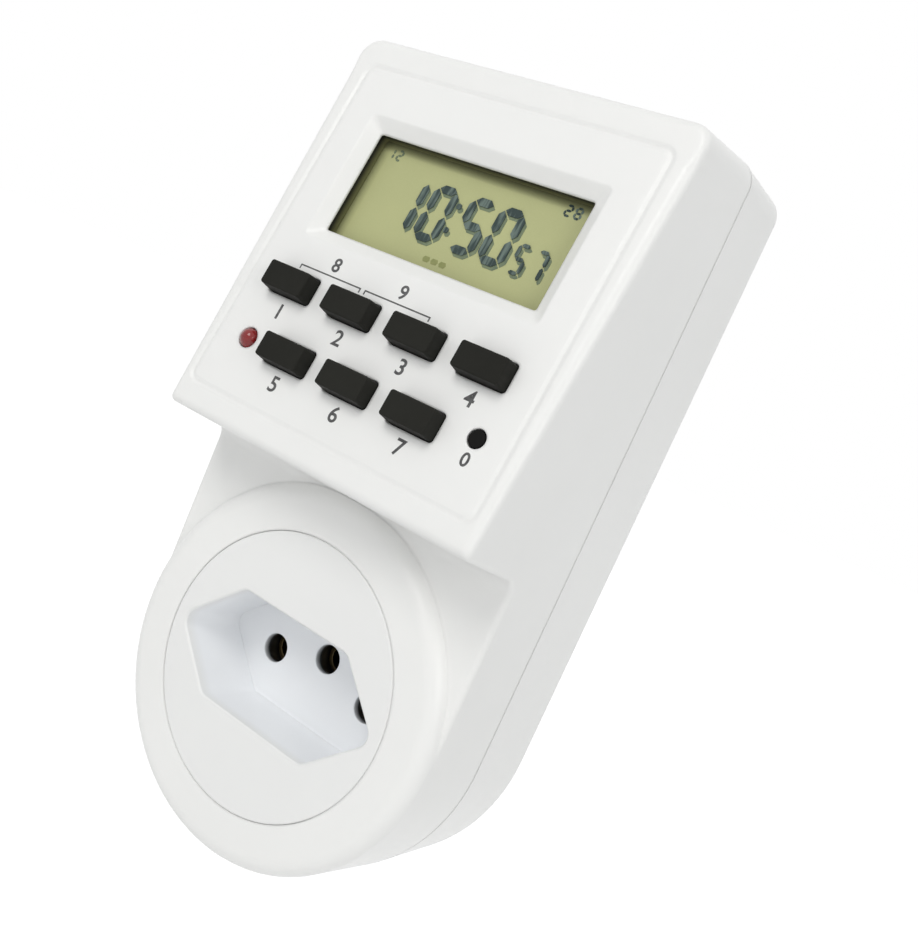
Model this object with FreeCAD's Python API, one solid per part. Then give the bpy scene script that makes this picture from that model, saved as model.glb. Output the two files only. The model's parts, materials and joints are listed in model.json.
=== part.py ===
import FreeCAD, Part
import math
import os
from FreeCAD import Placement, Rotation, Vector

# Plug-in weekly digital timer with a three-pin hexagonal plug behind and a matching socket in front.
# Millimetres. The origin is the point midway between the live and neutral pins on the plug's end face.
# World axes: +X to the right as seen from the front, +Y towards the wall, +Z up.
# Two working frames are used. The case frame has x to the right, y up and z forward of the rear face.
# The panel frame has x to the right, y up the tilted front of the head and z out of it.

# Pin pattern shared by the plug and the socket
PIN_SPACING = 19.0
EARTH_RISE = 3.0
PIN_DIAMETER = 4.0
PIN_LENGTH = 19.0
PIN_TIP_ROUND = 1.6
PIN_ROOT = 3.6
PIN_RELIEF = 0.3
SOCKET_HOLE = 4.4

# Hexagonal outline shared by the socket recess and the plug
HEX_CENTRE_Y = 0.8
HEX_HALF_LENGTH = 19.0
HEX_HALF_FLAT = 10.0
HEX_HALF_HEIGHT = 8.4
HEX_ROUND = 2.0
RECESS_DEPTH = 12.0
RECESS_LIP = 0.25
PLUG_HEIGHT = 11.8
PLUG_CLEARANCE = 0.35
PLUG_ROUND = 0.8

# Case outline, seen from the front
CASE_RADIUS = 28.2
CASE_TOP = 91.0
SIDE_TAPER = 0.85
TOP_CORNER = 3.8
WALL = 2.0
PANEL_WALL = 2.2

# Case depths, forward of the rear face
SEAM_DEPTH = 15.7
FACE_DEPTH = 30.5
SHELF_DROP = 1.9
SHELF_DEPTH = FACE_DEPTH - SHELF_DROP
HEAD_DEPTH = 42.3
FRONT_LIMIT = 49.0

# Drafts and rounds of the two shells
SIDE_DRAFT = 3.3
TOP_DRAFT = 5.0
REAR_DRAFT = 0.5
REAR_ROUND = 2.0
HEAD_ROUND = 1.3
HEAD_CORNER = 0.8
BOSS_ROUND = 2.6
BOSS_STEP = 0.1
SHELF_ROUND = 2.0

# Seam between the shells
SEAM_GAP = 0.12
TONGUE_HEIGHT = 1.6
TONGUE_WALL = 1.0

# Head: foot of the front panel and the slope of the underside
HEAD_LOW_Y = 30.4
HEAD_TILT = 10.9
UNDERSIDE_SLOPE = 8.7

# Shallow line around the panel
BORDER_HALF_WIDTH = 25.3
BORDER_LOW = 4.1
BORDER_HIGH = 56.0
BORDER_WIDTH = 1.0
BORDER_DEPTH = 0.22
BORDER_ROUND = 1.5

# Display
WINDOW_WIDTH = 36.3
WINDOW_HEIGHT = 15.8
WINDOW_Y = 39.25
BEVEL_WIDTH = 2.0
BEVEL_DEPTH = 1.4
BEVEL_ROUND = 0.8
WINDOW_ROUND = 0.4
WINDOW_LIP = 0.2
GLASS_MARGIN = 1.9
GLASS_SHEET = 1.1
GLASS_LEDGE = 3.0
GLASS_DROP = 3.4
FRAME_RIM = 1.6
FRAME_GAP = 0.1
FRAME_EDGE = 0.1
FRAME_COLLAR = 0.8

# Keys
KEY_WIDTH = 7.6
KEY_HEIGHT = 3.9
KEY_TAPER = 0.15
KEY_PROUD = 2.5
KEY_CORNER = 0.4
KEY_EDGE = 0.25
KEY_PITCH = 11.25
KEY_ROW_HIGH = 21.95
KEY_ROW_LOW = 12.65
KEY_GAP = 0.15
KEY_TRAVEL = 0.8
KEY_FLANGE = 0.8
KEY_FLANGE_THICK = 1.0
KEY_FOOT = 3.0

# Reset button and lamp, one at each end of the lower row
RESET_X = 20.45
RESET_Y = 13.6
RESET_DIAMETER = 2.4
RESET_PROUD = 0.1
RESET_FOOT = 2.3
LAMP_X = -19.4
LAMP_DIAMETER = 3.0
LAMP_PROUD = 0.9
LAMP_RIM = 0.4

# Silicone mat with its domes
MAT_THICK = 1.0
MAT_MARGIN = 2.3
DOME_WALL = 0.6
DOME_FOOT = 2.6
DOME_CROWN = 1.6

# Board behind the panel
BOARD_DROP = 8.0
BOARD_THICK = 1.2
BOARD_SIDE = 4.0
BOARD_LOW = 3.6
BOARD_HIGH = 55.4
BOARD_ROUND = 1.0
BOARD_SCREW_EDGE = 2.5
BOARD_SCREW_NECK = 4.0
BOARD_SCREW_HEAD = 3.6
BOARD_SCREW_CORE = 1.6
BOARD_SCREW_LENGTH = 5.0
BOARD_HOLE = 2.2
POST_DIAMETER = 4.4

# Parts on the back of that board
CHIP_X = -8.0
CHIP_Y = 20.0
CHIP_WIDTH = 11.0
CHIP_HEIGHT = 2.0
CELL_X = 9.5
CELL_Y = 33.0
CELL_DIAMETER = 15.5
CELL_THICK = 5.4
CELL_TAB_WIDTH = 4.0
CELL_TAB_THICK = 0.6
CELL_TAB_REACH = 1.9

# Mains board on the rear cover
MAINS_SIDE = 7.2
MAINS_LOW = 33.0
MAINS_HIGH = 76.0
MAINS_THICK = 1.6
MAINS_SCREW_EDGE = 3.0
MAINS_SCREW_HEAD = 4.0
MAINS_SCREW_CORE = 1.8
MAINS_SCREW_LENGTH = 5.0
MAINS_HOLE = 2.6
STANDOFF = 4.0
STANDOFF_DIAMETER = 5.0

# Parts on the mains board: rows are measured up from its lower edge
RELAY_X = -9.0
RELAY_ROW = 13.5
RELAY_WIDTH = 19.0
RELAY_LENGTH = 15.5
RELAY_HEIGHT = 15.3
FILM_X = -9.0
CAPACITOR_ROW = 28.0
FILM_WIDTH = 18.0
FILM_LENGTH = 8.0
FILM_HEIGHT = 14.0
CAN_X = 6.0
CAN_DIAMETER = 8.0
CAN_HEIGHT = 11.5
VARISTOR_X = 15.0
VARISTOR_DIAMETER = 9.2
VARISTOR_THICK = 4.0
FUSE_X = 12.0
FUSE_ROW = 18.0
FUSE_DIAMETER = 4.0
FUSE_LENGTH = 10.0
LEAD = 0.8
LEAD_RISE = 1.0
AXIAL_ROW = 37.5
AXIAL_PITCH = 4.0
DIODE_X = -14.0
DIODE_DIAMETER = 2.7
DIODE_LENGTH = 5.0
DIODE_COUNT = 4
RESISTOR_X = 3.0
RESISTOR_DIAMETER = 2.4
RESISTOR_LENGTH = 6.3
RESISTOR_COUNT = 3

# Case screws
SCREW_SIDE = 4.8
SCREW_LOW = 24.5
SCREW_TOP = 7.0
SCREW_HEAD = 5.6
SCREW_CORE = 2.7
SCREW_LENGTH = 12.0
SCREW_SEAT = 8.5
SCREW_HEAD_GAP = 0.3
SCREW_HOLE_GAP = 0.35
COLUMN_DIAMETER = 6.6
COLUMN_CLEARANCE = 0.8

# Proportions common to all screws, as parts of the head's diameter
HEAD_HEIGHT_RATIO = 0.4
HEAD_SLOPE_RATIO = 0.18
CROSS_REACH_RATIO = 0.3
CROSS_WIDTH_RATIO = 0.16
CROSS_DEPTH_RATIO = 0.22

# Socket insert
INSERT_RADIUS = 20.35
INSERT_EDGE = 0.25
INSERT_FLANGE = 2.65
INSERT_FLANGE_THICK = 1.9
BOSS_FACE_THICK = 2.4
CUP_WALL = 1.6
CUP_FLOOR = 1.5

# Contacts and the block around them
CONTACT_WALL = 0.6
CONTACT_SLOT = 0.8
CONTACT_SLOT_START = 2.0
CONTACT_SET_BACK = 2.5
GRIP_GAP = 0.01
STRAP_WIDTH = 4.0
STRAP_THICK = 0.8
STRAP_REACH = 4.0
TAB_REACH = 6.0
CARRIER_CLEARANCE = 0.3
CARRIER_WINDOW = 7.0

# Plug base and its pins
PLUG_WALL = 1.5
PLUG_END = 2.5
PLUG_FLANGE = 1.8
PLUG_FLANGE_THICK = 1.5
PIN_COLLAR = 6.0
PIN_COLLAR_THICK = 1.5
PIN_SHANK = 2.6
PIN_SHANK_LENGTH = 2.4

# Wires and flat cable inside the case
WIRE_DIAMETER = 1.7
WIRE_PITCH = 3.2
WIRE_BEND = 2.5
WIRE_RISE = 3.2
WIRE_ROW = 2.5
RIBBON_X = 9.5
RIBBON_WIDTH = 10.2
RIBBON_THICK = 0.9
RIBBON_PANEL_Y = 9.0
RIBBON_STUB = 5.0
RIBBON_STEP = 6.0
RIBBON_BEND = 5.0

# Gap of a still fit, and how far a cutting body runs past what it cuts
FIT = 0.05
PAST = 1.0
NEAR = 1e-4

# Values that follow from the sizes above
CASE = Placement(Vector(0, -PLUG_HEIGHT, 0), Rotation(Vector(1, 0, 0), 90))
PANEL = Placement(Vector(0, HEAD_LOW_Y, HEAD_DEPTH), Rotation(Vector(1, 0, 0), -HEAD_TILT))
PINS = {"live": (-PIN_SPACING / 2, 0.0), "neutral": (PIN_SPACING / 2, 0.0), "earth": (0.0, EARTH_RISE)}
FLOOR_TOP = FACE_DEPTH - RECESS_DEPTH
FLOOR_BACK = FLOOR_TOP - CUP_FLOOR
FLANGE_TOP = FACE_DEPTH - BOSS_FACE_THICK
CARRIER_LOW = WALL + PLUG_FLANGE_THICK
PLUG_INNER_END = -PLUG_HEIGHT + PLUG_END
EYE_LOW = PLUG_INNER_END + PIN_COLLAR_THICK
SLEEVE_RADIUS = PIN_DIAMETER / 2 + CONTACT_WALL
TAB_Y = SLEEVE_RADIUS + STRAP_THICK
MAINS_TOP = WALL + STANDOFF + MAINS_THICK
BOARD_BACK = -BOARD_DROP - BOARD_THICK
BOARD_HALF_WIDTH = CASE_RADIUS - BOARD_SIDE
MAINS_HALF_WIDTH = CASE_RADIUS - MAINS_SIDE
GLASS_WIDTH = WINDOW_WIDTH + 2 * GLASS_MARGIN
GLASS_HEIGHT = WINDOW_HEIGHT + 2 * GLASS_MARGIN
FLANGE_DROP = -PANEL_WALL - KEY_GAP
DOME_HEIGHT = KEY_TRAVEL + DOME_WALL
FOOT_LOW = -BOARD_DROP + MAT_THICK + DOME_HEIGHT + FIT
HIGH_KEYS = [(KEY_PITCH * (i - 1.5), KEY_ROW_HIGH) for i in range(4)]
LOW_KEYS = [(KEY_PITCH * (i - 1.0), KEY_ROW_LOW) for i in range(3)]
KEYS = HIGH_KEYS + LOW_KEYS
BUTTONS = KEYS + [(RESET_X, RESET_Y)]

# The display board narrows to a neck between the upper case screws
SCREW_X = CASE_RADIUS - SCREW_SIDE
SCREW_HIGH = CASE_TOP - SCREW_TOP
CASE_SCREWS = [(x, y) for y in (SCREW_LOW, SCREW_HIGH) for x in (-SCREW_X, SCREW_X)]
NECK_HALF_WIDTH = SCREW_X - COLUMN_DIAMETER / 2 - COLUMN_CLEARANCE
NECK_BASE_Y = SCREW_HIGH - COLUMN_DIAMETER / 2 - COLUMN_CLEARANCE - HEAD_LOW_Y
NECK_LOW = (NECK_BASE_Y - BOARD_DROP * math.sin(math.radians(HEAD_TILT))) / math.cos(math.radians(HEAD_TILT))
LOW_SCREW = (BOARD_HALF_WIDTH - BOARD_SCREW_EDGE, BOARD_LOW + BOARD_SCREW_EDGE)
HIGH_SCREW = (NECK_HALF_WIDTH - BOARD_SCREW_NECK, BOARD_HIGH - BOARD_SCREW_EDGE + POST_DIAMETER / 10)
BOARD_SCREWS = [(side * x, y) for x, y in (LOW_SCREW, HIGH_SCREW) for side in (-1, 1)]
MAINS_SCREW_X = MAINS_HALF_WIDTH - MAINS_SCREW_EDGE
MAINS_SCREWS = [
    (side * MAINS_SCREW_X, y)
    for y in (MAINS_LOW + MAINS_SCREW_EDGE, MAINS_HIGH - MAINS_SCREW_EDGE)
    for side in (-1, 1)
]


def rounded_polygon(corners, z=0.0):
    """Closed wire through (x, y, radius) corners, each turned by an arc of its radius."""
    points = [Vector(x, y, z) for x, y, radius in corners]
    count = len(points)
    starts, middles, ends = [], [], []
    for i, (x, y, radius) in enumerate(corners):
        point = points[i]
        before = (points[i - 1] - point).normalize()
        after = (points[(i + 1) % count] - point).normalize()
        half = before.getAngle(after) / 2
        inward = (before + after).normalize()
        reach = radius / math.tan(half)
        starts.append(point + before * reach)
        ends.append(point + after * reach)
        middles.append(point + inward * (radius / math.sin(half) - radius))
    edges = []
    for i, (x, y, radius) in enumerate(corners):
        edges.append(Part.makeLine(ends[i - 1], starts[i]))
        if radius > 0:
            edges.append(Part.Arc(starts[i], middles[i], ends[i]).toShape())
    return Part.Wire(edges)


def rectangle(width, height, radius, x=0.0, y=0.0, z=0.0):
    """Closed wire of a rounded rectangle about a centre."""
    signs = [(-1, -1), (1, -1), (1, 1), (-1, 1)]
    return rounded_polygon([(x + sx * width / 2, y + sy * height / 2, radius) for sx, sy in signs], z)


def hexagon(inset, z):
    """Closed wire of the plug and socket outline, drawn in by an inset."""
    slope = math.atan2(HEX_HALF_HEIGHT, HEX_HALF_LENGTH - HEX_HALF_FLAT)
    tip = HEX_HALF_LENGTH - inset / math.sin(slope)
    half = HEX_HALF_HEIGHT - inset
    flat = tip - half / math.tan(slope)
    radius = max(HEX_ROUND - inset, HEX_ROUND / 4)
    corners = [(-tip, 0), (-flat, -half), (flat, -half), (tip, 0), (flat, half), (-flat, half)]
    return rounded_polygon([(x, HEX_CENTRE_Y + y, radius) for x, y in corners], z)


def prism(wire, height):
    """Solid made by raising a flat closed wire along z."""
    return Part.Face(wire).extrude(Vector(0, 0, height))


def loft(low, high):
    """Straight-sided solid between two closed wires with equal numbers of edges."""
    return Part.makeLoft([low, high], True, True)


def box(x_low, x_high, y_low, y_high, z_low, z_high):
    """Block between two corners."""
    return Part.makeBox(x_high - x_low, y_high - y_low, z_high - z_low, Vector(x_low, y_low, z_low))


def rod(diameter, x, y, z_low, z_high):
    """Round bar along z."""
    return Part.makeCylinder(diameter / 2, z_high - z_low, Vector(x, y, z_low))


def ring(outer, inner, x, y, z_low, z_high):
    """Round tube along z, given by its two diameters."""
    return rod(outer, x, y, z_low, z_high).cut(rod(inner, x, y, z_low, z_high))


def side_prism(corners, half_width):
    """Solid with a side profile of (y, z, radius) corners, spread along x."""
    solid = prism(rounded_polygon(corners), 2 * half_width)
    solid.Placement = Placement(Vector(-half_width, 0, 0), Rotation(Vector(1, 1, 1), 120))
    return solid


def joined(shapes):
    """One shape fused from several."""
    return shapes[0].multiFuse(shapes[1:]).removeSplitter()


def group(shapes):
    """Separate solids kept side by side in one piece."""
    return Part.makeCompound(shapes)


def placed(shape, placement):
    """Copy of a shape moved by a placement."""
    copy = shape.copy()
    copy.Placement = placement.multiply(copy.Placement)
    return copy


def on_panel(shape):
    """Shape drawn in the panel frame, put into the case frame."""
    return placed(shape, PANEL)


def rounded_edges(shape, radius, test):
    """Shape with a round on every edge that passes the test."""
    return shape.makeFillet(radius, [edge for edge in shape.Edges if test(edge)])


def export(name, shape):
    """Write one piece in world axes."""
    placed(shape, CASE).exportStep("parts/" + name + ".step")


def case_outline(inset, top, z):
    """Closed wire of the case outline: round lower end, sides that open slightly, rounded top corners."""
    lean = math.radians(SIDE_TAPER)
    radius = CASE_RADIUS - inset
    corner = max(TOP_CORNER - inset, TOP_CORNER / 4)
    corner_y = top - corner
    run = (corner_y - HEX_CENTRE_Y + (radius - corner) * math.sin(lean)) / math.cos(lean)
    corner_x = (radius - corner) * math.cos(lean) + run * math.sin(lean)

    def low(angle, side):
        return Vector(side * radius * math.cos(angle), HEX_CENTRE_Y + radius * math.sin(angle), z)

    def high(angle, side):
        return Vector(side * (corner_x + corner * math.cos(angle)), corner_y + corner * math.sin(angle), z)

    mid_low = -math.pi / 4
    mid_high = math.pi / 4
    upright = math.pi / 2
    bottom = low(-upright, 1)
    edges = [
        Part.makeLine(low(-lean, 1), high(-lean, 1)),
        Part.Arc(high(-lean, 1), high(mid_high, 1), high(upright, 1)).toShape(),
        Part.makeLine(high(upright, 1), high(upright, -1)),
        Part.Arc(high(upright, -1), high(mid_high, -1), high(-lean, -1)).toShape(),
        Part.makeLine(high(-lean, -1), low(-lean, -1)),
        Part.Arc(low(-lean, -1), low(mid_low, -1), bottom).toShape(),
        Part.Arc(bottom, low(mid_low, 1), low(-lean, 1)).toShape(),
    ]
    return Part.Wire(edges)


def front_block(inset):
    """Drafted block from the seam past the head's front, drawn in by an inset."""
    reach = FRONT_LIMIT - SEAM_DEPTH
    side = reach * math.tan(math.radians(SIDE_DRAFT))
    drop = reach * math.tan(math.radians(TOP_DRAFT))
    near = case_outline(inset, CASE_TOP - inset, SEAM_DEPTH)
    far = case_outline(inset + side, CASE_TOP - inset - drop, FRONT_LIMIT)
    return loft(near, far)


def underside_y(depth):
    """Height of the head's underside at a depth."""
    return HEAD_LOW_Y - (HEAD_DEPTH - depth) * math.tan(math.radians(UNDERSIDE_SLOPE))


def panel_depth(y, inset):
    """Depth of the panel plane, or of a plane set in from it, at a height in the case frame."""
    tilt = math.radians(HEAD_TILT)
    return HEAD_DEPTH - (y - HEAD_LOW_Y) * math.tan(tilt) - inset / math.cos(tilt)


def front_profile(wall, panel_wall, face):
    """Side profile of the front shell, drawn in by its walls: panel, underside and socket face."""
    rise = wall / math.cos(math.radians(UNDERSIDE_SLOPE))
    low_depth = panel_depth(HEAD_LOW_Y + rise, panel_wall)
    low_y = underside_y(low_depth) + rise
    far = 2 * CASE_RADIUS
    top = 2 * CASE_TOP
    corners = [
        (-far, SEAM_DEPTH - PAST),
        (top, SEAM_DEPTH - PAST),
        (top, panel_depth(top, panel_wall)),
        (low_y, panel_depth(low_y, panel_wall)),
        (underside_y(face) + rise, face),
        (-far, face),
    ]
    return side_prism([(y, depth, 0) for y, depth in corners], far)


def shelf_cutter():
    """What is cut away round the socket boss: the rounded rim and the two shelves beside it."""
    edge = CASE_RADIUS - (SHELF_DEPTH - SEAM_DEPTH) * math.tan(math.radians(SIDE_DRAFT)) + BOSS_STEP
    inner = edge - BOSS_ROUND
    low = FACE_DEPTH - BOSS_ROUND
    diagonal = BOSS_ROUND * math.sqrt(0.5)
    far = 2 * CASE_RADIUS
    base = low - PAST
    high = FACE_DEPTH + PAST
    corners = [(edge, low), (edge, base), (far, base), (far, high), (inner, high), (inner, FACE_DEPTH)]
    points = [Vector(x, HEX_CENTRE_Y, z) for x, z in corners]
    middle = Vector(inner + diagonal, HEX_CENTRE_Y, low + diagonal)
    edges = [Part.makeLine(start, end) for start, end in zip(points, points[1:])]
    edges.append(Part.Arc(points[-1], middle, points[0]).toShape())
    axis_foot = Vector(0, HEX_CENTRE_Y, 0)
    cutter = Part.Face(Part.Wire(edges)).revolve(axis_foot, Vector(0, 0, 1), 360)
    above = high + PAST
    corners = [
        (-far, SHELF_DEPTH, 0),
        (underside_y(SHELF_DEPTH), SHELF_DEPTH, SHELF_ROUND),
        (underside_y(above), above, 0),
        (-far, above, 0),
    ]
    lower_rim = box(-far, far, -far, HEX_CENTRE_Y, low, above)
    return cutter.common(side_prism(corners, far).fuse(lower_rim))


def lies_on_panel(edge):
    """True for an edge whose ends both lie on the panel plane."""
    inverse = PANEL.inverse()
    return all(abs(inverse.multVec(vertex.Point).z) < NEAR for vertex in edge.Vertexes)


def is_head_corner(edge):
    """True for the two long edges between the head's underside and its side walls."""
    middle = edge.BoundBox.Center
    forward = edge.BoundBox.ZLength > (HEAD_DEPTH - FACE_DEPTH) / 2
    low = abs(middle.y - (HEAD_LOW_Y + underside_y(SHELF_DEPTH)) / 2) < HEAD_CORNER
    return forward and low and abs(middle.x) > CASE_RADIUS / 2


def border_groove():
    """V-shaped line sunk round the panel."""
    width = 2 * BORDER_HALF_WIDTH
    height = BORDER_HIGH - BORDER_LOW
    y = (BORDER_HIGH + BORDER_LOW) / 2
    half = BORDER_WIDTH / 2
    wide = rectangle(width + BORDER_WIDTH, height + BORDER_WIDTH, BORDER_ROUND + half, 0, y, 0)
    narrow = rectangle(width - BORDER_WIDTH, height - BORDER_WIDTH, BORDER_ROUND - half, 0, y, 0)
    bottom = rectangle(width, height, BORDER_ROUND, 0, y, -BORDER_DEPTH)
    return loft(bottom, wide).cut(loft(bottom, narrow))


def window_opening():
    """Bevelled display opening through the panel wall, cut back behind a thin lip for the frame's collar."""
    width = WINDOW_WIDTH + 2 * BEVEL_WIDTH
    height = WINDOW_HEIGHT + 2 * BEVEL_WIDTH
    mouth = rectangle(width, height, BEVEL_ROUND, 0, WINDOW_Y, 0)
    neck = rectangle(WINDOW_WIDTH, WINDOW_HEIGHT, WINDOW_ROUND, 0, WINDOW_Y, -BEVEL_DEPTH)
    through = prism(neck, -PANEL_WALL)
    wide = 2 * (FRAME_EDGE + FRAME_COLLAR + FRAME_GAP)
    low = -PANEL_WALL - PAST
    collar_room = prism(
        rectangle(WINDOW_WIDTH + wide, WINDOW_HEIGHT + wide, WINDOW_ROUND, 0, WINDOW_Y, low),
        -BEVEL_DEPTH - WINDOW_LIP - low,
    )
    return [loft(neck, mouth), prism(mouth, PAST), through, collar_room]


def panel_cuts():
    """Everything cut into the panel wall: border line, display, keys, reset button and lamp."""
    cuts = [border_groove()] + window_opening()
    low = -PANEL_WALL - PAST
    width = KEY_WIDTH + 2 * KEY_GAP
    height = KEY_HEIGHT + 2 * KEY_GAP
    for x, y in KEYS:
        cuts.append(prism(rectangle(width, height, KEY_CORNER + KEY_GAP, x, y, low), PAST - low))
    cuts.append(rod(RESET_DIAMETER + 2 * KEY_GAP, RESET_X, RESET_Y, low, PAST))
    cuts.append(rod(LAMP_DIAMETER + 2 * FIT, LAMP_X, KEY_ROW_LOW, low, PAST))
    return [on_panel(cut) for cut in cuts]


def front_housing():
    """Front shell: tilted head, shelves and round socket boss, open at the back."""
    outer = front_block(0.0).common(front_profile(0.0, 0.0, FACE_DEPTH)).cut(shelf_cutter())
    outer = rounded_edges(outer, HEAD_CORNER, is_head_corner)
    outer = rounded_edges(outer, HEAD_ROUND, lies_on_panel)
    shelf_inside = SHELF_DEPTH - WALL
    seam = SEAM_DEPTH + SEAM_GAP
    far = 2 * CASE_TOP
    inner = front_block(WALL).common(front_profile(WALL, PANEL_WALL, shelf_inside))
    pocket_radius = INSERT_RADIUS + INSERT_FLANGE + FIT
    pocket = rod(2 * pocket_radius, 0, HEX_CENTRE_Y, shelf_inside - PAST, FLANGE_TOP)
    back = box(-far, far, -far, far, 0, seam)
    shell = outer.cut([inner, pocket, back])
    columns = group([rod(COLUMN_DIAMETER, x, y, seam, HEAD_DEPTH) for x, y in CASE_SCREWS]).common(outer)
    post_foot = FIT - PANEL_WALL
    pilot = BOARD_SCREW_CORE + 2 * FIT
    posts = [on_panel(ring(POST_DIAMETER, pilot, x, y, -BOARD_DROP, post_foot)) for x, y in BOARD_SCREWS]
    mouth = rod(2 * INSERT_RADIUS, 0, HEX_CENTRE_Y, FLANGE_TOP - PAST, FACE_DEPTH + PAST)
    end = SCREW_SEAT + SCREW_LENGTH + PAST
    pilots = [rod(SCREW_CORE + 2 * FIT, x, y, 0, end) for x, y in CASE_SCREWS]
    body = shell.fuse([columns] + posts)
    return body.cut([mouth] + pilots + panel_cuts())


def rear_block(inset, low):
    """Rear half of the case, drawn in by an inset, from a depth up to the seam."""
    pinch = (SEAM_DEPTH - low) * math.tan(math.radians(REAR_DRAFT))
    near = case_outline(inset + pinch, CASE_TOP - inset - pinch, low)
    far = case_outline(inset, CASE_TOP - inset, SEAM_DEPTH)
    return loft(near, far)


def tongue():
    """Thin rim that stands up from the rear cover inside the front shell's drafted walls."""
    side = WALL + FIT + TONGUE_HEIGHT * math.tan(math.radians(SIDE_DRAFT))
    top = WALL + FIT + TONGUE_HEIGHT * math.tan(math.radians(TOP_DRAFT))
    low = SEAM_DEPTH - WALL
    height = WALL + TONGUE_HEIGHT
    outer = case_outline(side, CASE_TOP - top, low)
    inner = case_outline(side + TONGUE_WALL, CASE_TOP - top - TONGUE_WALL, low)
    passage = COLUMN_DIAMETER + 2 * COLUMN_CLEARANCE
    passages = [rod(passage, x, y, SEAM_DEPTH, SEAM_DEPTH + height) for x, y in CASE_SCREWS]
    return prism(outer, height).cut([prism(inner, height)] + passages)


def rear_cover():
    """Rear shell with rounded rear edges, screw wells, board posts and the plug opening."""
    outer = rounded_edges(rear_block(0.0, 0.0), REAR_ROUND, lambda edge: edge.BoundBox.ZMax < NEAR)
    well = COLUMN_DIAMETER + 2 * WALL
    wells = group([rod(well, x, y, WALL / 2, SEAM_DEPTH) for x, y in CASE_SCREWS]).common(outer)
    standoffs = [rod(STANDOFF_DIAMETER, x, y, WALL / 2, WALL + STANDOFF) for x, y in MAINS_SCREWS]
    body = outer.cut(rear_block(WALL, WALL)).fuse([tongue(), wells] + standoffs)
    cuts = [prism(hexagon(PLUG_CLEARANCE - FIT, -PAST), WALL + 2 * PAST)]
    for x, y in CASE_SCREWS:
        cuts.append(rod(SCREW_HEAD + 2 * SCREW_HEAD_GAP, x, y, -PAST, SCREW_SEAT))
        cuts.append(rod(SCREW_CORE + 2 * SCREW_HOLE_GAP, x, y, 0, SEAM_DEPTH + PAST))
    for x, y in MAINS_SCREWS:
        cuts.append(rod(MAINS_SCREW_CORE + 2 * FIT, x, y, WALL / 2, MAINS_TOP))
    return body.cut(cuts).removeSplitter()


def socket_insert():
    """Round insert with the hexagonal cup and its three holes."""
    radius = INSERT_RADIUS - FIT
    disc = rod(2 * radius, 0, HEX_CENTRE_Y, FLANGE_TOP - PAST, FACE_DEPTH)
    disc = rounded_edges(disc, INSERT_EDGE, lambda edge: edge.BoundBox.ZMin > FACE_DEPTH - NEAR)
    flange_radius = radius + INSERT_FLANGE
    flange = rod(2 * flange_radius, 0, HEX_CENTRE_Y, FLANGE_TOP - INSERT_FLANGE_THICK, FLANGE_TOP)
    cup = prism(hexagon(-CUP_WALL, FLOOR_BACK), FLANGE_TOP - FLOOR_BACK)
    recess = prism(hexagon(0.0, FLOOR_TOP), RECESS_DEPTH + PAST)
    lip = loft(hexagon(0.0, FACE_DEPTH - RECESS_LIP), hexagon(-RECESS_LIP, FACE_DEPTH))
    holes = [rod(SOCKET_HOLE, x, y, FLOOR_BACK - PAST, FLOOR_TOP + PAST) for x, y in PINS.values()]
    return joined([disc, flange, cup]).cut([recess, lip] + holes)


def plug_base():
    """Hexagonal plug body: a cup that pokes through the rear cover and carries the three pins."""
    shell = prism(hexagon(PLUG_CLEARANCE, -PLUG_HEIGHT), PLUG_HEIGHT + WALL)
    shell = rounded_edges(shell, PLUG_ROUND, lambda edge: edge.BoundBox.ZMax < NEAR - PLUG_HEIGHT)
    flange = prism(hexagon(-PLUG_FLANGE, WALL), PLUG_FLANGE_THICK)
    hollow = prism(hexagon(PLUG_CLEARANCE + PLUG_WALL, PLUG_INNER_END), 2 * PLUG_HEIGHT)
    cuts = [hollow]
    for x, y in PINS.values():
        cuts.append(rod(PIN_ROOT + 2 * FIT, x, y, -PLUG_HEIGHT - PAST, 0))
        cuts.append(rod(PIN_DIAMETER + 2 * FIT, x, y, -PLUG_HEIGHT - PAST, PIN_RELIEF - PLUG_HEIGHT))
    return shell.fuse(flange).cut(cuts).removeSplitter()


def plug_pin(x, y):
    """Solid pin: rounded tip, narrower root through the plug base, collar inside it and terminal shank."""
    tip = -PLUG_HEIGHT - PIN_LENGTH
    pin = rod(PIN_DIAMETER, x, y, tip, -PLUG_HEIGHT)
    pin = rounded_edges(pin, PIN_TIP_ROUND, lambda edge: edge.BoundBox.ZMax < tip + NEAR)
    root = rod(PIN_ROOT, x, y, -PLUG_HEIGHT, PLUG_INNER_END)
    collar = rod(PIN_COLLAR, x, y, PLUG_INNER_END, EYE_LOW)
    shank = rod(PIN_SHANK, x, y, PLUG_INNER_END, EYE_LOW + PIN_SHANK_LENGTH)
    return joined([pin, root, collar, shank])


def contact(x, y, strap_low, strap_high):
    """Slotted sleeve that grips an inserted pin, with a flat strap along its upper side."""
    bore = PIN_DIAMETER + 2 * GRIP_GAP
    high = FLOOR_BACK - CONTACT_SET_BACK
    tube = ring(2 * SLEEVE_RADIUS, bore, x, y, CARRIER_LOW, high)
    slot_start = CARRIER_LOW + CONTACT_SLOT_START
    slot = box(x - CONTACT_SLOT / 2, x + CONTACT_SLOT / 2, y - 2 * SLEEVE_RADIUS, y, slot_start, high)
    half = STRAP_WIDTH / 2
    inside = y + SLEEVE_RADIUS - CONTACT_WALL / 2
    strap = box(x - half, x + half, inside, y + TAB_Y, strap_low, strap_high)
    strap = strap.cut(rod(bore, x, y, CARRIER_LOW, strap_high + PAST))
    return joined([tube.cut(slot), strap])


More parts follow.
